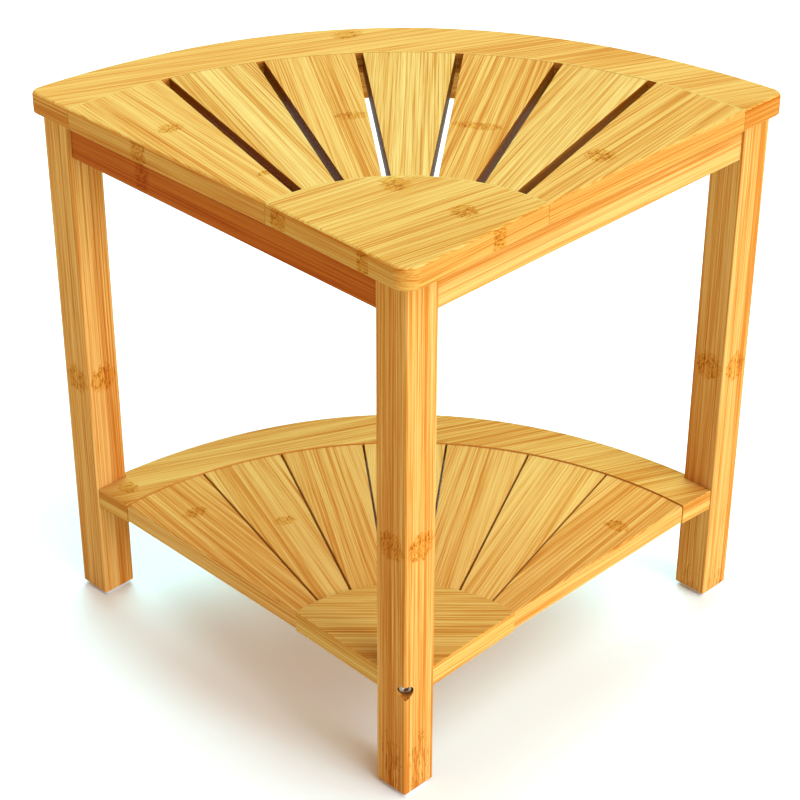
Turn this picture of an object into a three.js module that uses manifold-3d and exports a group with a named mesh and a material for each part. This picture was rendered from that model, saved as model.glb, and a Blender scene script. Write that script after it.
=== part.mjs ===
// Corner shower stool: a fan-shaped slatted seat on three square legs, with aprons under the seat and a
// matching slatted shelf low down between the legs.
//
// All lengths are millimetres and +Z is up. Plan positions are worked out from the corner where the two
// straight sides of the seat would meet if that corner were sharp: +Y runs from there to the curved back,
// +X to the right. At the end the whole stool is moved so that the middle of its footprint is the origin.

import * as THREE from 'three';
import { mergeVertices } from 'three/addons/utils/BufferGeometryUtils.js';
import Module from 'manifold-3d';

// ---- driving dimensions -------------------------------------------------------------------------------

const totalHeight = 450;
const jointGap = 0.3;

// Legs and feet
const legWidth = 29.5;
const legSetback = 8;
const backLegStart = 361.2;
const legArrisRadius = 1.2;
const legBottom = 3;
const padThickness = 2.8;
const padInset = 2.2;
const padCornerRadius = 3;
const padEase = 0.5;

// Seat panel
const seatThickness = 16.5;
const seatArch = { halfWidth: 655, rise: 1290, back: 406.4 };
const seatRimArc = { radius: 333.2, back: 355.2 };
const seatApexArc = { radius: 127.1, back: 137.9 };
const seatFrontRadius = 14;
const seatCornerRadius = 10;
const seatFlare = 2.5;
const seatFlareLength = 135;
const seatTopRound = 3;
const seatBottomEase = 0.8;
const seatSlots = { side: 2.2, focus: -21, pitch: 11.8, width: 6, widening: 0.27 };

// Shelf panel
const shelfTop = 107.6;
const shelfThickness = 18;
const shelfSlatThickness = 15.6;
const shelfArch = { halfWidth: 525, rise: 899, back: 378.7 };
const shelfRimArc = { radius: 312.1, back: 335.1 };
const shelfApexArc = { radius: 111.4, back: 133.9 };
const shelfSlatSetback = 11.7;
const shelfJointSetback = 11.1;
const shelfLegSetback = 9.2;
const shelfApexJoint = 128.3;
const shelfRimJoint = 330.5;
const shelfEdgeEase = 0.8;
const shelfSlatTopRound = 2.4;
const shelfSlots = { side: 0, focus: 0, pitch: 12, width: 1.8, widening: 0 };

// Slats and their stub tenons
const slatCount = 7;
const slatTenonLength = 8;
const slatTenonThickness = 5.4;
const slatTenonWidthAtRim = 30;
const slatTenonWidthAtApex = 12;

// Aprons, back rail and corner blocks
const apronHeight = 30;
const apronThickness = 18;
const apronSetback = 10.3;
const railArc = { radius: 352, back: 374 };
const railTenonLength = 7;
const railTenonHeight = 20;
const apronTenonFrom = 15.3;
const apronTenonWidth = 7;
const railTenonFrom = 375;
const railTenonWidth = 6.5;
const blockHeight = 26;
const blockDepth = 24;

// Hanger bolts that pull the corner blocks onto the legs
const hangerRadius = 3;
const hangerDrop = 15;
const hangerInLeg = 20;
const washerRadius = 6;
const washerThickness = 1.5;
const nutAcrossFlats = 10;
const nutThickness = 5;

// Shelf bolts, sunk in the outer corner of the front leg and in the rear faces of the back legs
const shelfBoltHeadRadius = 4.9;
const shelfBoltHeadHeight = 5;
const shelfBoltShankRadius = 3;
const shelfBoltLength = 42;
const counterboreRadius = 5.9;
const cornerBoreDepth = 12.5;
const faceBoreDepth = 6.5;
const insertRadius = 5;
const insertLength = 13;
const insertSink = 2;

// Small screws
const seatScrewSpread = 11;
const seatScrewInset = 8;
const seatScrewLength = 34;
const seatScrewSink = 3;
const screwRadius = 1.9;
const screwHeadRadius = 3.4;
const padScrewLength = 16;
const padScrewRecess = 0.5;

// ---- derived dimensions -------------------------------------------------------------------------------

const seatBottom = totalHeight - seatThickness;
const underSeat = seatBottom - jointGap;
const apronBottom = seatBottom - apronHeight;
const frontLegStart = legSetback;
const frontLegEnd = frontLegStart + legWidth;
const backLegEnd = backLegStart + legWidth;
const legDiagonal = legWidth * Math.SQRT2;
const shelfMiddle = shelfTop - shelfThickness / 2;
const hangerHeight = seatBottom - hangerDrop;
const LEFT = -1;
const RIGHT = 1;

// ---- solids -------------------------------------------------------------------------------------------

const wasm = await Module();
wasm.setup();

// Weld a closed surface and turn it into a solid that can be joined and cut.
function toSolid(geometry) {
  geometry.deleteAttribute('normal');
  geometry.deleteAttribute('uv');
  const welded = mergeVertices(geometry, 1e-4);
  const corners = welded.index.array;
  const triangles = [];
  for (let i = 0; i < corners.length; i += 3) {
    const [a, b, c] = corners.slice(i, i + 3);
    if (a !== b && b !== c && c !== a) triangles.push(a, b, c);
  }
  return new wasm.Manifold(new wasm.Mesh({
    numProp: 3,
    vertProperties: new Float32Array(welded.attributes.position.array),
    triVerts: new Uint32Array(triangles),
  }));
}

function toGeometry(solid) {
  const mesh = solid.getMesh();
  const geometry = new THREE.BufferGeometry();
  geometry.setAttribute('position', new THREE.BufferAttribute(new Float32Array(mesh.vertProperties), 3));
  geometry.setIndex(new THREE.BufferAttribute(new Uint32Array(mesh.triVerts), 1));
  geometry.computeVertexNormals();
  return geometry;
}

function join(solids) {
  return solids.reduce((whole, solid) => whole.add(solid));
}

function cut(solid, tools) {
  return tools.reduce((rest, tool) => rest.subtract(tool), solid);
}

// Upright prism over a plan outline.
function prism(outline, bottom, top) {
  const geometry = new THREE.ExtrudeGeometry(new THREE.Shape(outline), {
    depth: top - bottom,
    bevelEnabled: false,
  });
  geometry.translate(0, 0, bottom);
  return toSolid(geometry);
}

// Solid of revolution about the line from `start` along `direction`. The profile lists [radius, distance
// along the line] pairs and is walked outward at the near end, then along the line.
function turned(profile, start, direction, segments = 24) {
  const points = profile.map(([radius, distance]) => new THREE.Vector2(radius, distance));
  const geometry = new THREE.LatheGeometry(points, segments);
  const turn = new THREE.Quaternion().setFromUnitVectors(new THREE.Vector3(0, 1, 0), direction);
  geometry.applyQuaternion(turn);
  geometry.translate(start.x, start.y, start.z);
  return toSolid(geometry);
}

function rod(radius, from, to, start, direction, segments) {
  return turned([[0, from], [radius, from], [radius, to], [0, to]], start, direction, segments);
}

function tube(inner, outer, from, to, start, direction) {
  const profile = [[inner, from], [outer, from], [outer, to], [inner, to], [inner, from]];
  return turned(profile, start, direction);
}

// ---- plan outlines ------------------------------------------------------------------------------------

// Plan point at `along` a straight side from the front corner and `inward` from that side.
function onSide(side, along, inward) {
  return new THREE.Vector2(side * (along - inward) / Math.SQRT2, (along + inward) / Math.SQRT2);
}

// Rectangle lined up with a straight side.
function sideRectangle(side, along, inward) {
  return [
    onSide(side, along[0], inward[0]),
    onSide(side, along[1], inward[0]),
    onSide(side, along[1], inward[1]),
    onSide(side, along[0], inward[1]),
  ];
}

// Points of the arc that rounds the corner between two straight edges.
function roundedCorner(before, corner, after, radius, steps) {
  const toBefore = before.clone().sub(corner).normalize();
  const toAfter = after.clone().sub(corner).normalize();
  const halfAngle = Math.acos(toBefore.dot(toAfter)) / 2;
  const bisector = toBefore.clone().add(toAfter).normalize();
  const centre = corner.clone().addScaledVector(bisector, radius / Math.sin(halfAngle));
  const start = corner.clone().addScaledVector(toBefore, radius / Math.tan(halfAngle)).sub(centre);
  const end = corner.clone().addScaledVector(toAfter, radius / Math.tan(halfAngle)).sub(centre);
  const sweep = Math.atan2(start.cross(end), start.dot(end));
  const points = [];
  for (let i = 0; i <= steps; i += 1) {
    const spoke = start.clone().rotateAround(new THREE.Vector2(), sweep * i / steps);
    points.push(spoke.add(centre));
  }
  return points;
}

// The curved back of a panel is part of an ellipse.
function archDepth(arch, x) {
  return arch.back - arch.rise * (1 - Math.sqrt(1 - (x / arch.halfWidth) ** 2));
}

// Back curve from right to left.
function archPoints(arch, reach, steps) {
  const points = [];
  for (let i = 0; i <= steps; i += 1) {
    const x = reach * (1 - 2 * i / steps);
    points.push(new THREE.Vector2(x, archDepth(arch, x)));
  }
  return points;
}

// How far to the side the back curve meets the straight side of the fan.
function archReach(arch) {
  let x = arch.back / Math.SQRT2;
  for (let i = 0; i < 50; i += 1) {
    x += (archDepth(arch, x) - x) / 2;
  }
  return x;
}

function circle(arc, grow = 0, steps = 180) {
  const points = [];
  for (let i = 0; i < steps; i += 1) {
    const angle = 2 * Math.PI * i / steps;
    const radius = arc.radius + grow;
    const middle = arc.back - arc.radius;
    points.push(new THREE.Vector2(radius * Math.sin(angle), middle - radius * Math.cos(angle)));
  }
  return points;
}

function seatOutline() {
  const frontSpread = 1 - seatFlare / seatFlareLength;
  const front = new THREE.Vector2(0, -Math.SQRT2 * seatFlare / frontSpread);
  const reach = archReach(seatArch);
  const arch = archPoints(seatArch, reach - 1.4 * seatCornerRadius, 44);
  const corner = { [RIGHT]: new THREE.Vector2(reach, reach), [LEFT]: new THREE.Vector2(-reach, reach) };
  const flareEnd = { [RIGHT]: onSide(RIGHT, seatFlareLength, 0), [LEFT]: onSide(LEFT, seatFlareLength, 0) };
  return [
    ...roundedCorner(flareEnd[LEFT], front, flareEnd[RIGHT], seatFrontRadius, 10),
    flareEnd[RIGHT],
    ...roundedCorner(flareEnd[RIGHT], corner[RIGHT], arch[0], seatCornerRadius, 8),
    ...arch,
    ...roundedCorner(arch[arch.length - 1], corner[LEFT], flareEnd[LEFT], seatCornerRadius, 8),
    flareEnd[LEFT],
  ];
}

// The shelf outline runs into the three legs; the part inside the legs is cut away later.
function shelfOutline() {
  const legMiddle = legWidth / 2;
  const sideOf = (side) => [
    onSide(side, frontLegEnd - legMiddle, shelfLegSetback),
    onSide(side, frontLegEnd, shelfLegSetback),
    onSide(side, shelfApexJoint, shelfJointSetback),
    onSide(side, shelfRimJoint, shelfJointSetback),
    onSide(side, backLegStart, shelfLegSetback),
    onSide(side, backLegStart + legMiddle / 2, legSetback + legMiddle),
  ];
  const reach = backLegStart / Math.SQRT2 - legMiddle;
  return [
    ...sideOf(RIGHT),
    ...archPoints(shelfArch, reach, 40),
    ...sideOf(LEFT).reverse(),
  ];
}

// The slats of the shelf are set back a little from its rim and apex pieces at the straight sides.
function shelfSlatOutline() {
  const far = Math.SQRT2 * shelfArch.back;
  return [
    onSide(RIGHT, shelfSlatSetback, shelfSlatSetback),
    onSide(RIGHT, far, shelfSlatSetback),
    onSide(LEFT, far, shelfSlatSetback),
  ];
}

// Corner `index` of an anticlockwise outline after every edge has moved outward by `distance`.
function movedCorner(points, index, distance) {
  const count = points.length;
  const point = points[index];
  const arriving = point.clone().sub(points[(index + count - 1) % count]).normalize();
  const leaving = points[(index + 1) % count].clone().sub(point).normalize();
  const normal = new THREE.Vector2(arriving.y + leaving.y, -arriving.x - leaving.x).normalize();
  const squeeze = normal.dot(new THREE.Vector2(arriving.y, -arriving.x));
  return point.clone().addScaledVector(normal, distance / squeeze);
}

// Board over an anticlockwise plan outline, its upper edge rounded and its lower edge eased.
function board(outline, bottom, top, upperRound, lowerEase) {
  const layers = [[bottom, lowerEase], [bottom + lowerEase, 0]];
  const roundSteps = 4;
  for (let i = 0; i <= roundSteps; i += 1) {
    const angle = Math.PI / 2 * i / roundSteps;
    layers.push([top - upperRound * (1 - Math.sin(angle)), upperRound * (1 - Math.cos(angle))]);
  }
  const count = outline.length;
  const positions = [];
  const triangles = [];
  layers.forEach(([height, inset], layer) => {
    outline.forEach((_, i) => {
      const point = movedCorner(outline, i, -inset);
      positions.push(point.x, point.y, height);
      if (layer === 0) return;
      const next = (i + 1) % count;
      const above = layer * count;
      const below = above - count;
      triangles.push(below + i, below + next, above + next);
      triangles.push(below + i, above + next, above + i);
    });
  });
  const topStart = (layers.length - 1) * count;
  for (const [a, b, c] of THREE.ShapeUtils.triangulateShape(outline, [])) {
    triangles.push(a, c, b);
    triangles.push(topStart + a, topStart + b, topStart + c);
  }
  const geometry = new THREE.BufferGeometry();
  geometry.setAttribute('position', new THREE.Float32BufferAttribute(positions, 3));
  geometry.setIndex(triangles);
  return toSolid(geometry);
}

// ---- fan panels ---------------------------------------------------------------------------------------

// Direction at a given angle from straight back, positive to the right.
function spoke(angle) {
  return new THREE.Vector2(Math.sin(angle), Math.cos(angle));
}

// Point where the middle lines of all the slots of a panel meet.
function slotFocus(slots) {
  return new THREE.Vector2(slots.side, slots.focus);
}

// Slots widen a little toward the sides; `number` counts slots from the middle of the panel.
function slotWidth(slots, number) {
  return slots.width + slots.widening * (number ** 2 - 0.25);
}

// Plan wedge taken up by one slat; the outermost wedges run past the straight sides.
function slatWedge(index, slots) {
  const pitch = THREE.MathUtils.degToRad(slots.pitch);
  const focus = slotFocus(slots);
  const edge = (side) => {
    const number = index + side / 2 - (slatCount - 1) / 2;
    const outermost = Math.abs(number) > (slatCount - 1) / 2;
    const along = spoke(outermost ? side * 1.1 : number * pitch);
    const across = new THREE.Vector2(along.y, -along.x).multiplyScalar(-side * slotWidth(slots, number) / 2);
    const near = focus.clone().add(across).addScaledVector(along, 60);
    const far = focus.clone().add(across).addScaledVector(along, 470);
    return { near, far };
  };
  const left = edge(LEFT);
  const right = edge(RIGHT);
  return [left.near, right.near, right.far, left.far];
}

// Distance from the slot focus at which a line at a given angle crosses an arc of the panel.
function crossing(slots, angle, arc) {
  const middle = new THREE.Vector2(0, arc.back - arc.radius).sub(slotFocus(slots));
  const projected = middle.dot(spoke(angle));
  return projected + Math.sqrt(projected ** 2 - middle.lengthSq() + arc.radius ** 2);
}

// Stub tenon across the joint between a slat and an arc; `grow` gives its mortise instead.
function slatTenon(index, slots, arc, outward, width, middleHeight, grow) {
  const angle = (index - (slatCount - 1) / 2) * THREE.MathUtils.degToRad(slots.pitch);
  const along = spoke(angle);
  const across = new THREE.Vector2(along.y, -along.x);
  const focus = slotFocus(slots);
  const joint = crossing(slots, angle, arc);
  const start = joint - outward * 6;
  const end = joint + outward * (slatTenonLength + grow);
  const half = width / 2 + grow;
  const at = (distance, offset) => (
    focus.clone().addScaledVector(along, distance).addScaledVector(across, offset)
  );
  const thick = slatTenonThickness / 2 + grow;
  const outline = [at(start, -half), at(end, -half), at(end, half), at(start, half)];
  return prism(outline, middleHeight - thick, middleHeight + thick);
}

function slatTenons(index, panel, grow) {
  return [
    slatTenon(index, panel.slots, panel.rimArc, 1, slatTenonWidthAtRim, panel.middle, grow),
    slatTenon(index, panel.slots, panel.apexArc, -1, slatTenonWidthAtApex, panel.middle, grow),
  ];
}

// Rim, apex piece and slats of a panel, as [name, solid] pairs. `blank` is the board the rim and the apex
// piece come from and `slatBlank` the one the slats come from.
function fanPanel(panel) {
  const low = panel.middle - 20;
  const high = panel.middle + 20;
  const disc = (arc, grow) => prism(circle(arc, grow), low, high);
  const indices = Array.from({ length: slatCount }, (_, i) => i);
  const mortises = indices.flatMap((i) => slatTenons(i, panel, jointGap));
  const rim = cut(panel.blank, [disc(panel.rimArc, 0), ...mortises]);
  const apex = cut(panel.blank.intersect(disc(panel.apexArc, 0)), mortises);
  const ring = disc(panel.rimArc, -jointGap).subtract(disc(panel.apexArc, jointGap));
  const slats = indices.map((i) => {
    const body = panel.slatBlank.intersect(ring).intersect(prism(slatWedge(i, panel.slots), low, high));
    return [`${panel.name}_slat_${i + 1}`, join([body, ...slatTenons(i, panel, 0)])];
  });
  return new Map([[`${panel.name}_apex_panel`, apex], ...slats, [`${panel.name}_rim`, rim]]);
}

function seatPanel() {
  const blank = board(seatOutline(), seatBottom, totalHeight, seatTopRound, seatBottomEase);
  return fanPanel({
    name: 'seat',
    blank,
    slatBlank: blank,
    middle: seatBottom + seatThickness / 2,
    rimArc: seatRimArc,
    apexArc: seatApexArc,
    slots: seatSlots,
  });
}

function shelfPanel() {
  const bottom = shelfTop - shelfThickness;
  const slatBottom = shelfMiddle - shelfSlatThickness / 2;
  const slatTop = shelfMiddle + shelfSlatThickness / 2;
  return fanPanel({
    name: 'shelf',
    blank: board(shelfOutline(), bottom, shelfTop, shelfEdgeEase, shelfEdgeEase),
    slatBlank: board(shelfSlatOutline(), slatBottom, slatTop, shelfSlatTopRound, shelfEdgeEase),
    middle: shelfMiddle,
    rimArc: shelfRimArc,
    apexArc: shelfApexArc,
    slots: shelfSlots,
  });
}

// ---- legs, aprons, rail and blocks --------------------------------------------------------------------

// The three legs stand corner-on: `inward` is the horizontal diagonal that points into the stool.
const legs = [
  { name: 'front', side: RIGHT, start: frontLegStart, inward: new THREE.Vector3(0, 1, 0) },
  { name: 'left', side: LEFT, start: backLegStart, inward: new THREE.Vector3(1, 0, 0) },
  { name: 'right', side: RIGHT, start: backLegStart, inward: new THREE.Vector3(-1, 0, 0) },
];

// Point on the line across a leg's diagonal, `distance` from its outer corner towards the inside.
function onDiagonal(leg, distance, height) {
  const middle = onSide(leg.side, leg.start + legWidth / 2, legSetback + legWidth / 2);
  return new THREE.Vector3(middle.x, middle.y, height)
    .addScaledVector(leg.inward, distance - legDiagonal / 2);
}

// Line of the bolt that holds the shelf to a leg. It runs in from the front leg's outer corner, and
// along the straight side from a back leg's rear face. `wood` is how much leg it crosses.
function shelfBoltLine(leg) {
  if (leg.name === 'front') {
    const start = onDiagonal(leg, 0, shelfMiddle);
    return { start, direction: leg.inward, wood: legDiagonal, bore: cornerBoreDepth };
  }
  const rear = onSide(leg.side, backLegEnd, legSetback + legWidth / 2);
  const start = new THREE.Vector3(rear.x, rear.y, shelfMiddle);
  const direction = new THREE.Vector3(-leg.side, -1, 0).normalize();
  return { start, direction, wood: legWidth, bore: faceBoreDepth };
}

// Rounded square within a leg's plan section, `inset` from its faces, walked anticlockwise.
function legSection(leg, inset, radius) {
  const along = [leg.start + inset, leg.start + legWidth - inset];
  const inward = [legSetback + inset, legSetback + legWidth - inset];
  const square = sideRectangle(leg.side, along, inward);
  const outline = square.flatMap((corner, i) => (
    roundedCorner(square[(i + 3) % 4], corner, square[(i + 1) % 4], radius, 3)
  ));
  return THREE.ShapeUtils.isClockWise(outline) ? outline.reverse() : outline;
}

// A leg without its holes, or, where `grow` is given, the plain block that clears it by that much.
function legBody(leg, grow) {
  if (grow === 0) return board(legSection(leg, 0, legArrisRadius), legBottom, underSeat, 0.4, 0.8);
  const along = [leg.start - grow, leg.start + legWidth + grow];
  const inward = [legSetback - grow, legSetback + legWidth + grow];
  return prism(sideRectangle(leg.side, along, inward), 0, totalHeight);
}

function apronBody(side, grow) {
  const along = [frontLegEnd + jointGap, backLegStart - jointGap];
  const inward = [apronSetback - grow, apronSetback + apronThickness + grow];
  return prism(sideRectangle(side, along, inward), apronBottom - grow, underSeat);
}

function apronTenons(side, grow) {
  const inward = [apronTenonFrom - grow, apronTenonFrom + apronTenonWidth + grow];
  const reach = railTenonLength + grow;
  return [
    [frontLegEnd - reach, frontLegEnd + 2],
    [backLegStart - 2, backLegStart + reach],
  ].map((along) => tenonPrism(sideRectangle(side, along, inward), grow));
}

function tenonPrism(outline, grow) {
  const middle = apronBottom + apronHeight / 2;
  return prism(outline, middle - railTenonHeight / 2 - grow, middle + railTenonHeight / 2 + grow);
}

// The curved rail follows the back of the seat and runs from one back leg to the other.
function railBody(grow) {
  const middle = new THREE.Vector2(0, railArc.back - railArc.radius);
  const legCentre = onSide(RIGHT, backLegStart + legWidth / 2, legSetback + legWidth / 2).sub(middle);
  const sweep = Math.atan2(legCentre.x, legCentre.y);
  const steps = 40;
  const arc = (radius) => Array.from({ length: steps + 1 }, (_, i) => (
    spoke(sweep * (2 * i / steps - 1)).multiplyScalar(radius).add(middle)
  ));
  const inner = arc(railArc.radius - grow);
  const outer = arc(railArc.radius + apronThickness + grow);
  return prism([...inner, ...outer.reverse()], apronBottom - grow, underSeat);
}

function railTenons(grow) {
  const along = [railTenonFrom - grow, railTenonFrom + railTenonWidth + grow];
  const inward = [legSetback + legWidth - railTenonLength - grow, legSetback + legWidth + 2];
  return [LEFT, RIGHT].map((side) => tenonPrism(sideRectangle(side, along, inward), grow));
}

function backRail() {
  const ends = legs.slice(1).map((leg) => legBody(leg, jointGap));
  return join([cut(railBody(0), ends), ...railTenons(0)]);
}

function apron(side) {
  return join([apronBody(side, 0), ...apronTenons(side, 0)]);
}

function legPart(leg) {
  const mortises = [LEFT, RIGHT].flatMap((side) => apronTenons(side, jointGap));
  const hangerStart = onDiagonal(leg, legDiagonal, hangerHeight);
  const outward = leg.inward.clone().negate();
  const bolt = shelfBoltLine(leg);
  const padHole = onDiagonal(leg, legDiagonal / 2, 0);
  return cut(legBody(leg, 0), [
    ...mortises,
    ...railTenons(jointGap),
    rod(hangerRadius + jointGap, -1, hangerInLeg + 1, hangerStart, outward),
    rod(counterboreRadius, -1, bolt.bore, bolt.start, bolt.direction, 36),
    rod(shelfBoltShankRadius + jointGap, 0, bolt.wood + 1, bolt.start, bolt.direction),
    rod(screwRadius + jointGap, 0, padScrewLength + 2, padHole, up()),
  ]);
}

// Wedge-shaped block behind a leg, filling the corner between the two rails that meet there.
function cornerBlock(leg) {
  const reach = legDiagonal / 2 + blockDepth;
  const centre = onDiagonal(leg, legDiagonal / 2, 0);
  const across = new THREE.Vector3(-leg.inward.y, leg.inward.x, 0);
  const faceMiddle = centre.clone().addScaledVector(leg.inward, reach);
  const faceEnd = (side) => faceMiddle.clone().addScaledVector(across, side * reach);
  const outline = [centre, faceEnd(RIGHT), faceEnd(LEFT)].map(({ x, y }) => new THREE.Vector2(x, y));
  const faceStart = onDiagonal(leg, legDiagonal + blockDepth, hangerHeight);
  return cut(prism(outline, underSeat - blockHeight, underSeat), [
    legBody(leg, jointGap),
    apronBody(LEFT, jointGap),
    apronBody(RIGHT, jointGap),
    railBody(jointGap),
    rod(hangerRadius + 0.4, -blockDepth - 5, 5, faceStart, leg.inward),
    ...seatScrewHoles(leg),
  ]);
}

// ---- fasteners and feet -------------------------------------------------------------------------------

function up() {
  return new THREE.Vector3(0, 0, 1);
}

// Wood thread in the leg, a plain length through the block and a machine thread for the nut.
function hangerBolt(leg) {
  const start = onDiagonal(leg, legDiagonal - hangerInLeg, hangerHeight);
  const length = hangerInLeg + blockDepth + washerThickness + nutThickness + 4;
  const profile = [
    [0, 0],
    [0.8, 0],
    [hangerRadius, 4],
    [hangerRadius, hangerInLeg - 2],
    [hangerRadius - 0.4, hangerInLeg - 1],
    [hangerRadius - 0.4, hangerInLeg + 8],
    [hangerRadius, hangerInLeg + 9],
    [hangerRadius, length - 1],
    [hangerRadius - 0.8, length],
    [0, length],
  ];
  return turned(profile, start, leg.inward);
}

function hangerWasher(leg) {
  const start = onDiagonal(leg, legDiagonal + blockDepth + jointGap, hangerHeight);
  return tube(hangerRadius + jointGap, washerRadius, 0, washerThickness, start, leg.inward);
}

function hangerNut(leg) {
  const start = onDiagonal(leg, legDiagonal + blockDepth + washerThickness + 2 * jointGap, hangerHeight);
  const corner = nutAcrossFlats / Math.sqrt(3);
  const body = rod(corner, 0, nutThickness, start, leg.inward, 6);
  return body.subtract(rod(hangerRadius + jointGap, -1, nutThickness + 1, start, leg.inward));
}

// Socket-head bolt running through a leg into the shelf, its head sunk in the leg.
function shelfBolt(leg) {
  const line = shelfBoltLine(leg);
  const headStart = line.bore - jointGap - shelfBoltHeadHeight;
  const start = line.start.clone().addScaledVector(line.direction, headStart);
  const profile = [
    [0, 0],
    [shelfBoltHeadRadius - 0.6, 0],
    [shelfBoltHeadRadius, 0.6],
    [shelfBoltHeadRadius, shelfBoltHeadHeight],
    [shelfBoltShankRadius, shelfBoltHeadHeight],
    [shelfBoltShankRadius, shelfBoltHeadHeight + shelfBoltLength - 0.8],
    [shelfBoltShankRadius - 0.8, shelfBoltHeadHeight + shelfBoltLength],
    [0, shelfBoltHeadHeight + shelfBoltLength],
  ];
  const socket = rod(2.9, -1, 2.6, start, line.direction, 6);
  return turned(profile, start, line.direction).subtract(socket);
}

// Threaded insert screwed into the shelf behind a leg, with coarse ribs outside.
function shelfInsert(leg) {
  const line = shelfBoltLine(leg);
  const start = line.start.clone().addScaledVector(line.direction, line.wood + insertSink);
  const bore = shelfBoltShankRadius + jointGap;
  const outside = [];
  const ribs = 4;
  const pitch = insertLength / ribs;
  for (let i = 0; i < ribs; i += 1) {
    outside.push([insertRadius - 0.7, i * pitch], [insertRadius, (i + 0.5) * pitch]);
  }
  const farEnd = [[insertRadius - 0.7, insertLength], [bore, insertLength]];
  const profile = [[bore, 0], ...outside, ...farEnd, [bore, 0]];
  return turned(profile, start, line.direction);
}

// Hole in the shelf for the insert and the end of the bolt.
function shelfInsertHole(leg) {
  const { start, direction, wood } = shelfBoltLine(leg);
  const end = wood + insertSink + insertLength + jointGap;
  return rod(insertRadius + jointGap, wood - 3, end, start, direction)
    .add(rod(shelfBoltShankRadius + jointGap, wood, wood + 24, start, direction));
}

// Feet of the two screws that pass up through a corner block.
function seatScrewStarts(leg) {
  const across = new THREE.Vector3(-leg.inward.y, leg.inward.x, 0);
  const height = underSeat - blockHeight + seatScrewSink;
  const between = onDiagonal(leg, legDiagonal + blockDepth - seatScrewInset, height);
  return [LEFT, RIGHT].map((side) => between.clone().addScaledVector(across, side * seatScrewSpread));
}

function crossRecess(start, depth) {
  const bar = (halfX, halfY) => prism([
    new THREE.Vector2(start.x - halfX, start.y - halfY),
    new THREE.Vector2(start.x + halfX, start.y - halfY),
    new THREE.Vector2(start.x + halfX, start.y + halfY),
    new THREE.Vector2(start.x - halfX, start.y + halfY),
  ], start.z - 1, start.z + depth);
  return bar(1.7, 0.45).add(bar(0.45, 1.7));
}

// Pan-head wood screw standing on its head.
function seatScrew(start) {
  const profile = [
    [0, 0],
    [screwHeadRadius - 1, 0],
    [screwHeadRadius, 1],
    [screwHeadRadius, 2.4],
    [screwRadius, 2.4],
    [screwRadius, seatScrewLength - 4],
    [0.3, seatScrewLength],
    [0, seatScrewLength],
  ];
  return turned(profile, start, up()).subtract(crossRecess(start, 1.3));
}

function seatScrewHoles(leg) {
  return seatScrewStarts(leg).flatMap((start) => [
    rod(screwHeadRadius + jointGap, -seatScrewSink - 1, 2.4 + jointGap, start, up()),
    rod(screwRadius + 0.3, 0, seatScrewLength + jointGap, start, up()),
  ]);
}

// Thin rounded-square pad under a leg, countersunk for its screw.
function footPad(leg) {
  const start = onDiagonal(leg, legDiagonal / 2, 0);
  const sink = screwHeadRadius + jointGap;
  const hole = [
    [0, -1],
    [sink + padEase + 1, -1],
    [sink, padScrewRecess],
    [screwRadius + jointGap, padScrewRecess + 1.8],
    [screwRadius + jointGap, padThickness + 1],
    [0, padThickness + 1],
  ];
  const plate = board(legSection(leg, padInset, padCornerRadius), 0, padThickness, 0.2, padEase);
  return cut(plate, [turned(hole, start, up())]);
}

function padScrew(leg) {
  const start = onDiagonal(leg, legDiagonal / 2, padScrewRecess);
  const profile = [
    [0, 0],
    [screwHeadRadius, 0],
    [screwHeadRadius - 0.1, 0.2],
    [screwRadius, 1.8],
    [screwRadius, padScrewLength - 4],
    [0.3, padScrewLength],
    [0, padScrewLength],
  ];
  return turned(profile, start, up()).subtract(crossRecess(start, 1));
}

// ---- materials ----------------------------------------------------------------------------------------

const bamboo = () => new THREE.MeshStandardMaterial({ color: 0xe2b46c, roughness: 0.45, metalness: 0 });
const blockWood = () => new THREE.MeshStandardMaterial({ color: 0xd09a55, roughness: 0.6, metalness: 0 });
const steel = () => new THREE.MeshStandardMaterial({ color: 0xc3c6c9, roughness: 0.28, metalness: 1 });
const zinc = () => new THREE.MeshStandardMaterial({ color: 0xa9a58f, roughness: 0.4, metalness: 1 });
const padPlastic = () => new THREE.MeshStandardMaterial({ color: 0xd9d8d4, roughness: 0.6, metalness: 0 });

// ---- assembly -----------------------------------------------------------------------------------------

const outline = seatOutline();
const frontTip = Math.min(...outline.map((point) => point.y));
const stool = new THREE.Group();
stool.name = 'shower_stool';
const middle = new THREE.Group();
middle.name = 'footprint_middle';
middle.position.y = -(frontTip + seatArch.back) / 2;
stool.add(middle);

function addPiece(name, solid, material) {
  const piece = new THREE.Mesh(toGeometry(solid), material);
  piece.name = name;
  middle.add(piece);
}

const seatHoles = legs.flatMap(seatScrewHoles);
for (const [name, solid] of seatPanel()) {
  addPiece(name, cut(solid, seatHoles), bamboo());
}

const shelfCuts = legs.flatMap((leg) => [legBody(leg, jointGap), shelfInsertHole(leg)]);
for (const [name, solid] of shelfPanel()) {
  addPiece(name, cut(solid, shelfCuts), bamboo());
}

addPiece('apron_left', apron(LEFT), bamboo());
addPiece('apron_right', apron(RIGHT), bamboo());
addPiece('back_rail', backRail(), bamboo());

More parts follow.
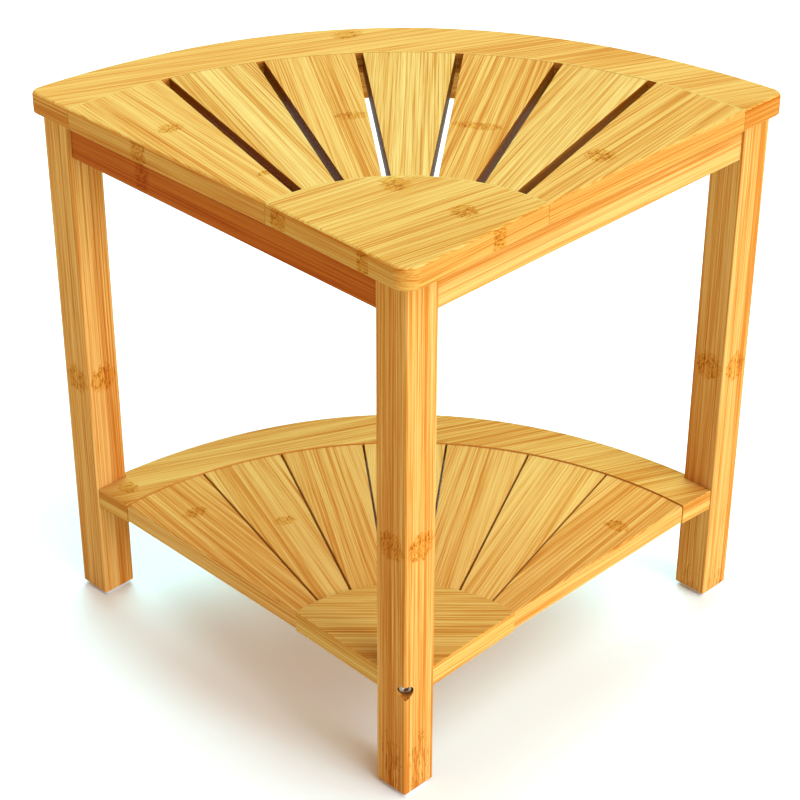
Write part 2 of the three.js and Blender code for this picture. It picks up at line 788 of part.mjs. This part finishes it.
for (const leg of legs) {
  addPiece(`leg_${leg.name}`, legPart(leg), bamboo());
  addPiece(`corner_block_${leg.name}`, cornerBlock(leg), blockWood());
  addPiece(`hanger_bolt_${leg.name}`, hangerBolt(leg), steel());
  addPiece(`hanger_washer_${leg.name}`, hangerWasher(leg), steel());
  addPiece(`hanger_nut_${leg.name}`, hangerNut(leg), steel());
  addPiece(`shelf_bolt_${leg.name}`, shelfBolt(leg), steel());
  addPiece(`shelf_insert_${leg.name}`, shelfInsert(leg), zinc());
  addPiece(`foot_pad_${leg.name}`, footPad(leg), padPlastic());
  addPiece(`pad_screw_${leg.name}`, padScrew(leg), steel());
  seatScrewStarts(leg).forEach((start, i) => {
    addPiece(`seat_screw_${leg.name}_${i + 1}`, seatScrew(start), steel());
  });
}

export default stool;
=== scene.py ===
import math

import bpy
from mathutils import Matrix, Vector


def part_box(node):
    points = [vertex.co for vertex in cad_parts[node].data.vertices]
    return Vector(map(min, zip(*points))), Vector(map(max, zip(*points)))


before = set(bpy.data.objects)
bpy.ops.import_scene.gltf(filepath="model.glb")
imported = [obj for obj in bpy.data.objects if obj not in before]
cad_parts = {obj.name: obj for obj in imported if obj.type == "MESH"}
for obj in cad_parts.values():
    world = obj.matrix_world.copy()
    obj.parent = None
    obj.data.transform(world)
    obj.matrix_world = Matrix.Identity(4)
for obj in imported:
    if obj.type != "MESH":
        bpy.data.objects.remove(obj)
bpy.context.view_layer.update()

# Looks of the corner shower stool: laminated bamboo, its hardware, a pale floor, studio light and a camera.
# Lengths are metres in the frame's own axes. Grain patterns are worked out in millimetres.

MM = 0.001
UP = Vector((0.0, 0.0, 1.0))
LEGS = ("front", "left", "right")
SLATS = range(1, 8)

# Camera
LENS_MM = 99.3
SENSOR_MM = 36.0
CAMERA_PLACE = Vector((-0.0055, -1.4324, 1.1097))
CAMERA_TURN = math.radians(0.05)
CAMERA_TILT = math.radians(31.59)
CAMERA_ROLL = math.radians(0.17)

# Edges
WELD_DISTANCE = 1e-6
FLAT_ANGLE = math.radians(0.25)
SHARP_ANGLE = math.radians(32)
WOOD_EDGE = 0.45 * MM
METAL_EDGE = 0.2 * MM

# Laminated bamboo, in millimetres
STRIP_WIDTH = 19.0
LAYER_HEIGHT = 5.5
# Width of the painted highlight along the seat's curved joints
SEAM_WIDTH = 0.35
JOINT_HIGHLIGHT_WIDTH = 1.1
RAGGED_SIZE = 3.0

# Faces that lean further over than this share of upright count as the edge of a board.
EDGE_STEEPNESS = 0.7

# Streaks run along the grain: (length, width) in millimetres and how strongly they sway the tone.
FINE_STREAKS = (150.0, 1.15, 2.7)
BAND_STREAKS = (260.0, 3.0, 0.8)
BROAD_STREAKS = (420.0, 9.0, 0.6)
HAIR_STREAKS = (190.0, 1.0)
STRIP_SWAY = 0.4
NODE_DASHES = (3.4, 1.7)
FLECK_DASHES = (13.0, 1.6)

# Average colour of the wood, then darker and lighter fibres as shares of it.
BAMBOO_COLOUR = (0.58, 0.275, 0.059)
FIBRE_SHARES = (
    (0.12, (0.80, 0.55, 0.30)),
    (0.33, (0.93, 0.80, 0.60)),
    (0.50, (1.01, 1.00, 1.00)),
    (0.68, (1.07, 1.19, 1.42)),
    (0.88, (1.12, 1.34, 1.75)),
)
HAIR_COLOUR = (0.8, 0.52, 0.28, 1.0)
SEAM_COLOUR = (0.7, 0.45, 0.25, 1.0)
MARK_TINT = (0.92, 0.76, 0.38, 1.0)
MARK_SPOT = (0.66, 0.48, 0.24, 1.0)
END_TINT = (0.72, 0.55, 0.42, 1.0)
# Painted highlight: a pale line along the seat's curved joints, standing in for light caught by the rounded
# edges there
JOINT_HIGHLIGHT = (0.66, 0.46, 0.12, 1.0)
JOINT_HIGHLIGHT_STRENGTH = 0.75

# Tints over that colour. Slats alternate, starting with the tone of the odd ones.
PLAIN = (1.0, 1.0, 1.0)
SLAT_TONES = {
    "seat": ((0.98, 1.1, 1.08), (1.0, 1.24, 1.4)),
    "shelf": ((1.0, 1.04, 1.02), (1.02, 1.12, 1.16)),
}
APEX_TONE = (0.98, 1.16, 1.18)
RIM_TONE = (0.98, 1.05, 0.98)
# Painted shade: the left apron is darkened and reddened as if in the shadow under the seat's overhang
APRON_PAINTED_SHADE = (0.66, 0.3, 0.1)
# Darker edge grain on the seat's outer edges, partly painted shade on those side faces
SEAT_EDGE_GRAIN_AND_SHADE = (0.9, 0.72, 0.55)
# Painted shade: the walls of the slots between the seat slats are darkened as if in shadow
SLOT_WALL_SHADE = (0.42, 0.26, 0.12)

# Surface of the wood
WOOD_ROUGHNESS = 0.42
WOOD_SPECULAR = 0.01
FIBRE_BUMP = 0.12
FIBRE_DEPTH = 0.1 * MM

# Curved joints of the seat
SEAT_APEX_RADIUS = 127.1 * MM
SEAT_RIM_RADIUS = 333.2 * MM
TENON_LENGTH = 8 * MM

# Grain directions in plan, in degrees anticlockwise from +X
SEAT_RIM_GRAIN = 22
SEAT_APEX_GRAIN = 36
SHELF_RIM_GRAIN = 20
SHELF_APEX_GRAIN = 0

# Where the pattern starts in each family of pieces, so that no two pieces look alike
PANEL_SEED = 0.0
RAIL_SEED = 101.0
LEG_SEED = 57.0
BLOCK_SEED = 83.0

# Culm nodes and flecks on the legs, in millimetres: (height of the middle, length)
LEG_MARK_SIZE = 24
LEG_MARK_HEIGHT = {"front": 222, "left": 207, "right": 220}
LEG_FLECKS = {"front": (26, 60), "right": (12, 34)}
LEG_FLECK_WIDTH = 20

# Stage. The floor is large enough for its far side to lie at the horizon of any view from above.
FLOOR_HALF_WIDTH = 120.0
WORLD_COLOUR = (1.0, 0.6, 0.42, 1.0)
WORLD_STRENGTH = 0.6

# Lights: azimuth, elevation, strength, spread, colour
LIGHTS = {
    "low_key": (50, 10, 1.05, 25, (0.8, 0.84, 1.0)),
    "high_key": (50, 55, 0.6, 50, (0.82, 1.0, 1.0)),
    "back": (180, 50, 1.08, 50, (0.48, 0.94, 1.0)),
}


# ---- node helpers -------------------------------------------------------------------------------------

class Nodes:
    """Adds nodes to a tree and links them, so that a formula reads as one."""

    def __init__(self, tree):
        self.tree = tree

    def add(self, kind, **settings):
        node = self.tree.nodes.new(kind)
        for name, value in settings.items():
            setattr(node, name, value)
        return node

    def feed(self, socket, value):
        if isinstance(value, bpy.types.NodeSocket):
            self.tree.links.new(value, socket)
        else:
            socket.default_value = value

    def math(self, operation, *values, clamp=False):
        node = self.add("ShaderNodeMath", operation=operation, use_clamp=clamp)
        for socket, value in zip(node.inputs, values):
            self.feed(socket, value)
        return node.outputs[0]

    def dot(self, vector, direction):
        node = self.add("ShaderNodeVectorMath", operation="DOT_PRODUCT")
        self.feed(node.inputs[0], vector)
        node.inputs[1].default_value = direction
        return node.outputs["Value"]

    def vector(self, x, y, z):
        node = self.add("ShaderNodeCombineXYZ")
        for socket, value in zip(node.inputs, (x, y, z)):
            self.feed(socket, value)
        return node.outputs[0]

    def random(self, value):
        node = self.add("ShaderNodeTexWhiteNoise", noise_dimensions="1D")
        self.feed(node.inputs["W"], value)
        return node.outputs["Value"]

    def noise(self, vector, scale=1.0, detail=2.0, roughness=0.5, distortion=0.0):
        node = self.add("ShaderNodeTexNoise", noise_dimensions="3D")
        self.feed(node.inputs["Vector"], vector)
        node.inputs["Scale"].default_value = scale
        node.inputs["Detail"].default_value = detail
        node.inputs["Roughness"].default_value = roughness
        node.inputs["Distortion"].default_value = distortion
        return node.outputs["Fac"]

    def ramp(self, value, low, high, to_low=0.0, to_high=1.0):
        node = self.add("ShaderNodeMapRange", interpolation_type="SMOOTHSTEP")
        for name, setting in (("From Min", low), ("From Max", high), ("To Min", to_low), ("To Max", to_high)):
            node.inputs[name].default_value = setting
        self.feed(node.inputs["Value"], value)
        return node.outputs["Result"]

    def mix(self, amount, first, second, blend="MIX"):
        node = self.add("ShaderNodeMix", data_type="RGBA", blend_type=blend)
        self.feed(node.inputs["Factor"], amount)
        self.feed(node.inputs["A"], first)
        self.feed(node.inputs["B"], second)
        return node.outputs["Result"]


def colour_ramp(nodes, value, stops):
    node = nodes.add("ShaderNodeValToRGB")
    elements = node.color_ramp.elements
    while len(elements) < len(stops):
        elements.new(0.5)
    for element, (place, colour) in zip(elements, stops):
        element.position = place
        element.color = (*colour, 1.0)
    nodes.feed(node.inputs["Fac"], value)
    return node.outputs["Color"]


# ---- bamboo -------------------------------------------------------------------------------------------

def bamboo_tones():
    """Ramp stops from the darkest to the lightest fibre."""
    return [
        (place, [colour * share for colour, share in zip(BAMBOO_COLOUR, shares)])
        for place, shares in FIBRE_SHARES
    ]


def bamboo_group():
    """Colour and fibre height of laminated bamboo at a point given as (along, across, through) the grain."""
    tree = bpy.data.node_groups.new("bamboo_grain", "ShaderNodeTree")
    face = tree.interface
    face.new_socket("Point", in_out="INPUT", socket_type="NodeSocketVector")
    face.new_socket("Seed", in_out="INPUT", socket_type="NodeSocketFloat")
    face.new_socket("Node mark", in_out="INPUT", socket_type="NodeSocketFloat")
    face.new_socket("Flecks", in_out="INPUT", socket_type="NodeSocketFloat")
    face.new_socket("End grain", in_out="INPUT", socket_type="NodeSocketFloat")
    face.new_socket("Color", in_out="OUTPUT", socket_type="NodeSocketColor")
    face.new_socket("Height", in_out="OUTPUT", socket_type="NodeSocketFloat")
    nodes = Nodes(tree)
    given = nodes.add("NodeGroupInput").outputs
    made = nodes.add("NodeGroupOutput").inputs
    split = nodes.add("ShaderNodeSeparateXYZ")
    nodes.feed(split.inputs[0], given["Point"])
    along, across, through = split.outputs

    # Glued layers, each of side-by-side strips.
    layer_place = nodes.math("DIVIDE", through, LAYER_HEIGHT)
    layer = nodes.math("FLOOR", layer_place)
    layer_key = nodes.math("MULTIPLY_ADD", layer, 5.31, given["Seed"])
    strip_place = nodes.math("ADD", nodes.math("DIVIDE", across, STRIP_WIDTH), nodes.random(layer_key))
    strip = nodes.math("FLOOR", strip_place)
    strip_key = nodes.math("MULTIPLY_ADD", strip, 1.37, layer_key)
    strip_tone = nodes.random(strip_key)
    shift = nodes.math("MULTIPLY", strip_tone, 71.0)

    def seam(place, size):
        share = nodes.math("FRACT", place)
        edge = nodes.math("MINIMUM", share, nodes.math("SUBTRACT", 1.0, share))
        return nodes.ramp(nodes.math("MULTIPLY", edge, size), 0.0, SEAM_WIDTH, 1.0, 0.0)

    seams = nodes.math("MAXIMUM", seam(strip_place, STRIP_WIDTH), seam(layer_place, LAYER_HEIGHT))

    def streaks(length, width, **look):
        """Noise drawn out along the grain."""
        x = nodes.math("ADD", nodes.math("DIVIDE", along, length), shift)
        y = nodes.math("DIVIDE", across, width)
        z = nodes.math("DIVIDE", through, width)
        return nodes.noise(nodes.vector(x, y, z), **look)

    fine = streaks(*FINE_STREAKS[:2], detail=3.0, roughness=0.75)
    bands = streaks(*BAND_STREAKS[:2], detail=1.0, roughness=0.5)
    broad = streaks(*BROAD_STREAKS[:2], detail=2.0, roughness=0.5)
    hair = streaks(*HAIR_STREAKS, detail=1.0, roughness=0.4)

    def swing(value, amount):
        return nodes.math("MULTIPLY", nodes.math("SUBTRACT", value, 0.5), amount)

    tone = nodes.math("ADD", swing(fine, FINE_STREAKS[2]), 0.5)
    tone = nodes.math("ADD", tone, swing(bands, BAND_STREAKS[2]))
    tone = nodes.math("ADD", tone, swing(broad, BROAD_STREAKS[2]))
    tone = nodes.math("ADD", tone, swing(strip_tone, STRIP_SWAY))
    colour = colour_ramp(nodes, tone, bamboo_tones())

    dark_hair = nodes.math("MULTIPLY", nodes.ramp(hair, 0.58, 0.72), 0.6)
    colour = nodes.mix(dark_hair, colour, HAIR_COLOUR, blend="MULTIPLY")
    colour = nodes.mix(nodes.math("MULTIPLY", seams, 0.35), colour, SEAM_COLOUR, blend="MULTIPLY")

    def dashes(length, width):
        """Short wavy dark fibres."""
        x = nodes.math("DIVIDE", along, length)
        y = nodes.math("DIVIDE", across, width)
        z = nodes.math("DIVIDE", through, width)
        cloud = nodes.noise(nodes.vector(x, y, z), detail=2.0, roughness=0.6, distortion=0.6)
        return nodes.ramp(cloud, 0.5, 0.6)

    # A culm node darkens its patch a little and dots it with short dashes. Flecks are longer dark fibres.
    spots = nodes.math("MULTIPLY", dashes(*NODE_DASHES), given["Node mark"])
    flecks = nodes.math("MULTIPLY", dashes(*FLECK_DASHES), nodes.math("MULTIPLY", given["Flecks"], 0.9))
    colour = nodes.mix(nodes.math("MULTIPLY", given["Node mark"], 0.75), colour, MARK_TINT, blend="MULTIPLY")
    colour = nodes.mix(nodes.math("MAXIMUM", spots, flecks), colour, MARK_SPOT, blend="MULTIPLY")

    colour = nodes.mix(nodes.math("MULTIPLY", given["End grain"], 0.8), colour, END_TINT, blend="MULTIPLY")
    nodes.feed(made["Color"], colour)
    height = nodes.math("SUBTRACT", fine, nodes.math("MULTIPLY", seams, 0.5))
    nodes.feed(made["Height"], height)
    return tree


def patch_mask(nodes, grain_place, patch, axes, post):
    """Oval patch with a ragged rim. On a post it shows on all four faces, so the distance across is the
    smaller of the two sideways distances."""
    point, length, width = patch
    away = []
    for value, axis in zip(grain_place, axes):
        centre = Vector(point).dot(axis) / MM
        away.append(nodes.math("ABSOLUTE", nodes.math("SUBTRACT", value, centre)))
    sideways = nodes.math("MINIMUM", away[1], away[2]) if post else away[1]
    lengthwise = nodes.math("POWER", nodes.math("DIVIDE", away[0], 0.5 * length / MM), 2.0)
    crosswise = nodes.math("POWER", nodes.math("DIVIDE", sideways, 0.5 * width / MM), 2.0)
    reach = nodes.math("SQRT", nodes.math("ADD", lengthwise, crosswise))
    ragged = nodes.noise(nodes.vector(*grain_place), scale=1 / RAGGED_SIZE, detail=1.0)
    reach = nodes.math("ADD", reach, nodes.math("SUBTRACT", ragged, 0.5))
    return nodes.ramp(reach, 0.75, 1.15, 1.0, 0.0)


def patches_mask(nodes, grain_place, patches, axes, post):
    """All patches of a piece together."""
    total = 0.0
    for patch in patches:
        mask = patch_mask(nodes, grain_place, patch, axes, post)
        total = nodes.math("ADD", total, mask, clamp=True)
    return total


def arc_highlight_mask(nodes, place, arc):
    """Painted highlight: thin pale line along an upright cylinder, given as (centre, radius) in metres."""
    centre, radius = arc
    flat = nodes.add("ShaderNodeVectorMath", operation="MULTIPLY")
    nodes.feed(flat.inputs[0], place)
    flat.inputs[1].default_value = (1.0, 1.0, 0.0)
    reach = nodes.add("ShaderNodeVectorMath", operation="DISTANCE")
    nodes.feed(reach.inputs[0], flat.outputs[0])
    reach.inputs[1].default_value = centre
    off = nodes.math("ABSOLUTE", nodes.math("SUBTRACT", reach.outputs["Value"], radius))
    return nodes.ramp(off, 0.5 * JOINT_HIGHLIGHT_WIDTH * MM, JOINT_HIGHLIGHT_WIDTH * MM, 1.0, 0.0)


def along_the_edge(nodes, place, normal):
    """Distance travelled round the upright edge of a board, in millimetres."""
    tangent = nodes.add("ShaderNodeVectorMath", operation="CROSS_PRODUCT")
    tangent.inputs[0].default_value = UP
    nodes.feed(tangent.inputs[1], normal)
    travel = nodes.add("ShaderNodeVectorMath", operation="DOT_PRODUCT")
    nodes.feed(travel.inputs[0], tangent.outputs[0])
    nodes.feed(travel.inputs[1], place)
    return nodes.math("DIVIDE", travel.outputs["Value"], MM)


def bamboo(name, grain, face, seed, form="rail", marks=(), edge_marks=(), flecks=(), joints=(),
           tint=PLAIN, edge_grain_and_shade=PLAIN):
    """Bamboo with its fibres along `grain` and its layers stacked along `face`, two directions in the frame.
    The form is "board", "rail" or "post". Marks are culm nodes, edge marks show on a board's edges only, and
    flecks are patches of dark fibres, each (point, length along the grain, width across it) in metres. Each
    joint is an arc with a painted highlight along it: a pale line on the top faces where the rounded edges
    catch the light. On the edges of a board the streaks run round the board."""
    material = bpy.data.materials.new(name)
    material.use_nodes = True
    nodes = Nodes(material.node_tree)
    shader = material.node_tree.nodes["Principled BSDF"]
    grain = Vector(grain).normalized()
    face = Vector(face).normalized()
    axes = (grain, face.cross(grain), face)

    place = nodes.add("ShaderNodeTexCoord").outputs["Object"]
    normal = nodes.add("ShaderNodeNewGeometry").outputs["Normal"]
    grain_place = [nodes.dot(place, axis / MM) for axis in axes]
    mark = patches_mask(nodes, grain_place, marks, axes, form == "post")
    fleck = patches_mask(nodes, grain_place, flecks, axes, form == "post")
    along, across, through = grain_place
    on_edge = 0.0
    end_grain = 0.0
    if form == "board":
        on_edge = nodes.math("LESS_THAN", nodes.math("ABSOLUTE", nodes.dot(normal, face)), EDGE_STEEPNESS)
        edge_mark = patches_mask(nodes, grain_place, edge_marks, axes, False)
        mark = nodes.math("MULTIPLY_ADD", edge_mark, on_edge, mark)
        round_edge = nodes.math("SUBTRACT", along_the_edge(nodes, place, normal), along)
        along = nodes.math("MULTIPLY_ADD", round_edge, on_edge, along)
        across = nodes.math("MULTIPLY", across, nodes.math("SUBTRACT", 1.0, on_edge))
    else:
        end_grain = nodes.ramp(nodes.math("ABSOLUTE", nodes.dot(normal, grain)), 0.75, 0.97)

    wood = nodes.add("ShaderNodeGroup", node_tree=GRAIN)
    nodes.feed(wood.inputs["Point"], nodes.vector(along, across, through))
    settings = {"Seed": float(seed), "Node mark": mark, "Flecks": fleck, "End grain": end_grain}
    for socket, value in settings.items():
        nodes.feed(wood.inputs[socket], value)
    colour = wood.outputs["Color"]
    if tint != PLAIN:
        colour = nodes.mix(1.0, colour, (*tint, 1.0), blend="MULTIPLY")
    # Edges darkened: painted shade on slot walls, edge grain partly painted shade on the seat's outer edges
    if edge_grain_and_shade != PLAIN:
        colour = nodes.mix(on_edge, colour, (*edge_grain_and_shade, 1.0), blend="MULTIPLY")
    # Painted highlight: a pale line along each curved joint, on the top faces only
    for arc in joints:
        on_top = nodes.math("SUBTRACT", JOINT_HIGHLIGHT_STRENGTH, on_edge)
        joint_highlight = nodes.math("MULTIPLY", arc_highlight_mask(nodes, place, arc), on_top, clamp=True)
        colour = nodes.mix(joint_highlight, colour, JOINT_HIGHLIGHT)
    nodes.feed(shader.inputs["Base Color"], colour)
    shader.inputs["Roughness"].default_value = WOOD_ROUGHNESS
    shader.inputs["Specular IOR Level"].default_value = WOOD_SPECULAR
    bump = nodes.add("ShaderNodeBump")
    bump.inputs["Strength"].default_value = FIBRE_BUMP
    bump.inputs["Distance"].default_value = FIBRE_DEPTH
    nodes.feed(bump.inputs["Height"], wood.outputs["Height"])
    nodes.feed(shader.inputs["Normal"], bump.outputs["Normal"])
    return material


# ---- hardware, pads and floor ---------------------------------------------------------------------------

def mottled(name, dark, light, size_mm, roughness, metallic=0.0):
    """Plain material whose colour drifts between two close tones over patches of a given size."""
    material = bpy.data.materials.new(name)
    material.use_nodes = True
    nodes = Nodes(material.node_tree)
    shader = material.node_tree.nodes["Principled BSDF"]
    place = nodes.add("ShaderNodeTexCoord").outputs["Object"]
    patches = nodes.noise(place, scale=1.0 / (size_mm * MM), detail=3.0, roughness=0.6)
    colour = nodes.mix(nodes.ramp(patches, 0.3, 0.7), (*dark, 1.0), (*light, 1.0))
    nodes.feed(shader.inputs["Base Color"], colour)
    shader.inputs["Roughness"].default_value = roughness
    shader.inputs["Metallic"].default_value = metallic
    return material


def steel():
    return mottled(
        "steel", dark=(0.27, 0.24, 0.19), light=(0.44, 0.4, 0.32), size_mm=1.5, roughness=0.24, metallic=1.0)


def insert_alloy():
    return mottled(
        "insert_alloy", dark=(0.42, 0.4, 0.34), light=(0.6, 0.57, 0.48), size_mm=1.0, roughness=0.42,
        metallic=1.0)


def pad_plastic():
    return mottled("pad", dark=(0.6, 0.6, 0.59), light=(0.72, 0.72, 0.71), size_mm=2.0, roughness=0.55)


def floor_paper():
    material = mottled(
        "floor", dark=(0.87, 0.965, 0.99), light=(0.88, 0.975, 0.995), size_mm=400.0, roughness=0.9)
    material.node_tree.nodes["Principled BSDF"].inputs["Specular IOR Level"].default_value = 0.0
    return material


# ---- pieces -------------------------------------------------------------------------------------------

def ease_edges(piece, width, segments=2):
    """Clean faces, small rounded edges and smooth shading, all as modifiers on the CAD node."""
    mesh = piece.data
    for name in ("custom_normal", "sharp_face", "sharp_edge"):
        if name in mesh.attributes:
            mesh.attributes.remove(mesh.attributes[name])
    weld = piece.modifiers.new("weld", "WELD")
    weld.merge_threshold = WELD_DISTANCE
    flat = piece.modifiers.new("flat_faces", "DECIMATE")
    flat.decimate_type = "DISSOLVE"
    flat.angle_limit = FLAT_ANGLE
    edge = piece.modifiers.new("edge", "BEVEL")
    edge.width = width
    edge.segments = segments
    edge.limit_method = "ANGLE"
    edge.angle_limit = SHARP_ANGLE
    edge.miter_outer = "MITER_ARC"
    even = piece.modifiers.new("even_shading", "WEIGHTED_NORMAL")
    even.weight = 80


def paint(node, material, edge):
    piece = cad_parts[node]
    piece.data.materials.clear()
    piece.data.materials.append(material)
    ease_edges(piece, edge)


def plan_direction(degrees):
    return Vector((math.cos(math.radians(degrees)), math.sin(math.radians(degrees)), 0.0))


def long_direction(node):
    """Direction in plan along which a piece is longest."""
    points = [vertex.co.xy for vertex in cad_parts[node].data.vertices]
    middle = sum(points, Vector((0.0, 0.0))) / len(points)
    spread = [point - middle for point in points]
    xx = sum(p.x * p.x for p in spread)
    yy = sum(p.y * p.y for p in spread)
    xy = sum(p.x * p.y for p in spread)
    angle = 0.5 * math.atan2(2.0 * xy, xx - yy)
    return Vector((math.cos(angle), math.sin(angle), 0.0))


# Places of the culm nodes are measured from the middle of the stool's front edge.
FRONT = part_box("seat_apex_panel")[0].y


def patch(right, back, length, width, height=0):
    """Oval of a given length along the grain and width across it, all in millimetres."""
    return (Vector((right * MM, FRONT + back * MM, height * MM)), length * MM, width * MM)


BOARD_MARKS = {
    "seat_slat_1": [patch(-169, 212, 15, 20), patch(-97, 139, 8, 12)],
    "seat_slat_2": [patch(-98, 325, 14, 22)],
    "seat_slat_3": [patch(-40, 234, 13, 24)],
    "seat_slat_5": [patch(51, 217, 12, 38)],
    "seat_slat_7": [patch(135, 168, 20, 22)],
    "seat_apex_panel": [patch(-8, 122, 20, 22), patch(38, 81, 20, 20)],
    "seat_rim": [patch(-46, 387, 24, 14)],
    "shelf_rim": [patch(-225, 262, 16, 16)],
    "shelf_slat_1": [patch(-168, 228, 14, 20)],
    "shelf_slat_2": [patch(-96, 217, 12, 18)],
    "shelf_slat_7": [patch(168, 211, 14, 20)],
}
EDGE_MARKS = {
    "seat_slat_1": [patch(-190, 188, 16, 16)],
    "seat_apex_panel": [patch(-87, 83, 14, 14), patch(-29, 24, 10, 10), patch(61, 57, 12, 12)],
}
RAIL_MARKS = {
    "apron_left": [patch(-190, 202, 16, 26, height=417)],
}


def joint_arc(back, radius):
    """Upright cylinder of a curved joint whose furthest point from the front lies at `back`, in metres."""
    return (Vector((0.0, back - radius, 0.0)), radius)


def board_tints():
    """Tints of the top and of the edges of every board in both panels that has one. The edge tints are
    painted shade on the slot walls and darker edge grain with painted shade on the seat's outer edges.
    """
    tops = {
        "seat_rim": RIM_TONE,
        "seat_apex_panel": APEX_TONE,
        "shelf_rim": RIM_TONE,
        "shelf_apex_panel": APEX_TONE,
    }
    for panel, tones in SLAT_TONES.items():
        for number in SLATS:
            tops[f"{panel}_slat_{number}"] = tones[(number + 1) % 2]
    # Painted shade on the walls of the slots between the slats.
    edges = {f"seat_slat_{number}": SLOT_WALL_SHADE for number in SLATS[1:-1]}
    # Darker edge grain, partly painted shade, on the seat's outer edges.
    for node in ("seat_rim", "seat_apex_panel", "seat_slat_1", "seat_slat_7"):
        edges[node] = SEAT_EDGE_GRAIN_AND_SHADE
    return tops, edges


def board_grain():
    """Grain direction of every board in both panels. Slats run along their length."""
    grain = {
        "seat_rim": plan_direction(SEAT_RIM_GRAIN),
        "seat_apex_panel": plan_direction(SEAT_APEX_GRAIN),
        "shelf_rim": plan_direction(SHELF_RIM_GRAIN),
        "shelf_apex_panel": plan_direction(SHELF_APEX_GRAIN),
    }
    for panel in SLAT_TONES:
        for number in SLATS:
            grain[f"{panel}_slat_{number}"] = long_direction(f"{panel}_slat_{number}")
    return grain


def dress_panels():
    apex_joint = joint_arc(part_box("seat_apex_panel")[1].y, SEAT_APEX_RADIUS)
    rim_joint = joint_arc(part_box("seat_slat_4")[1].y - TENON_LENGTH, SEAT_RIM_RADIUS)
    tops, edges = board_tints()
    for seed, (node, direction) in enumerate(sorted(board_grain().items())):
        material = bamboo(
            f"bamboo_{node}", direction, UP, PANEL_SEED + seed * 3.7, form="board",
            marks=BOARD_MARKS.get(node, ()),
            edge_marks=EDGE_MARKS.get(node, ()),
            joints=(apex_joint, rim_joint) if node.startswith("seat") else (),
            tint=tops[node],
            edge_grain_and_shade=edges.get(node, PLAIN))
        paint(node, material, WOOD_EDGE)


def dress_rails():
    """The aprons are straight boards on edge. The curved rail is dressed as a board, so that its streaks
    follow the curve."""
    # The left apron carries painted shade for the shadow under the seat's overhang.
    for seed, (node, face, form, tint) in enumerate((
        ("apron_left", plan_direction(45), "rail", APRON_PAINTED_SHADE),
        ("apron_right", plan_direction(135), "rail", PLAIN),
        ("back_rail", UP, "board", PLAIN),
    )):
        material = bamboo(
            f"bamboo_{node}", long_direction(node), face, RAIL_SEED + seed * 2.9, form=form,
            marks=RAIL_MARKS.get(node, ()),
            tint=tint)
        paint(node, material, WOOD_EDGE)


def leg_patch(leg, height, length, width):
    """Patch round a leg, centred `height` millimetres above the floor."""
    low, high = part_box(f"leg_{leg}")
    middle = (low + high) / 2
    return (Vector((middle.x, middle.y, height * MM)), length * MM, width * MM)


def dress_legs():
    for seed, leg in enumerate(LEGS):
        mark = leg_patch(leg, LEG_MARK_HEIGHT[leg], LEG_MARK_SIZE, LEG_MARK_SIZE)
        flecks = [leg_patch(leg, *LEG_FLECKS[leg], LEG_FLECK_WIDTH)] if leg in LEG_FLECKS else []
        wood = bamboo(
            f"bamboo_leg_{leg}", UP, plan_direction(45), LEG_SEED + seed * 4.3, form="post",
            marks=[mark], flecks=flecks)
        paint(f"leg_{leg}", wood, WOOD_EDGE)
        block = f"corner_block_{leg}"
        wood = bamboo(f"bamboo_{block}", long_direction(block), UP, BLOCK_SEED + seed * 1.9)
        paint(block, wood, WOOD_EDGE)


def dress_hardware():
    metal = steel()
    alloy = insert_alloy()
    plastic = pad_plastic()
    for leg in LEGS:
        for kind in ("hanger_bolt", "hanger_washer", "hanger_nut", "shelf_bolt", "pad_screw"):
            paint(f"{kind}_{leg}", metal, METAL_EDGE)
        for number in (1, 2):
            paint(f"seat_screw_{leg}_{number}", metal, METAL_EDGE)
        paint(f"shelf_insert_{leg}", alloy, METAL_EDGE)
        paint(f"foot_pad_{leg}", plastic, METAL_EDGE)


# ---- stage --------------------------------------------------------------------------------------------

def make_floor():
    half = FLOOR_HALF_WIDTH
    mesh = bpy.data.meshes.new("floor")
    corners = [(-half, -half, 0.0), (half, -half, 0.0), (half, half, 0.0), (-half, half, 0.0)]
    mesh.from_pydata(corners, [], [(0, 1, 2, 3)])
    floor = bpy.data.objects.new("floor", mesh)
    bpy.context.scene.collection.objects.link(floor)
    floor.data.materials.append(floor_paper())


def make_camera():
    data = bpy.data.cameras.new("camera")
    data.lens = LENS_MM
    data.sensor_width = SENSOR_MM
    camera = bpy.data.objects.new("camera", data)
    bpy.context.scene.collection.objects.link(camera)
    turn = Matrix.Rotation(-CAMERA_TURN, 4, "Z")
    tilt = Matrix.Rotation(math.pi / 2 - CAMERA_TILT, 4, "X")
    roll = Matrix.Rotation(CAMERA_ROLL, 4, "Z")
    camera.matrix_world = Matrix.Translation(CAMERA_PLACE) @ turn @ tilt @ roll
    bpy.context.scene.camera = camera


def sun(name, azimuth, elevation, strength, spread, colour):
    """Soft light from far away. The azimuth runs from the front (0) to the right (90), in degrees like the
    elevation and the spread, and the strength is a share of what lights a white face fully."""
    data = bpy.data.lights.new(name, "SUN")
    data.energy = math.pi * strength
    data.angle = math.radians(spread)
    data.color = colour
    lamp = bpy.data.objects.new(name, data)
    bpy.context.scene.collection.objects.link(lamp)
    turn = math.radians(azimuth)
    level = math.cos(math.radians(elevation))
    towards = Vector((math.sin(turn) * level, -math.cos(turn) * level, math.sin(math.radians(elevation))))
    lamp.rotation_mode = "QUATERNION"
    lamp.rotation_quaternion = towards.to_track_quat("Z", "Y")


def make_light():
    world = bpy.data.worlds.new("world")
    bpy.context.scene.world = world
    world.use_nodes = True
    background = world.node_tree.nodes["Background"]
    background.inputs["Color"].default_value = WORLD_COLOUR
    background.inputs["Strength"].default_value = WORLD_STRENGTH
    for name, settings in LIGHTS.items():
        sun(name, *settings)
    bpy.context.scene.view_settings.view_transform = "Standard"
    bpy.context.scene.view_settings.look = "None"


GRAIN = bamboo_group()
dress_panels()
dress_rails()
dress_legs()
dress_hardware()
make_floor()
make_camera()
make_light()
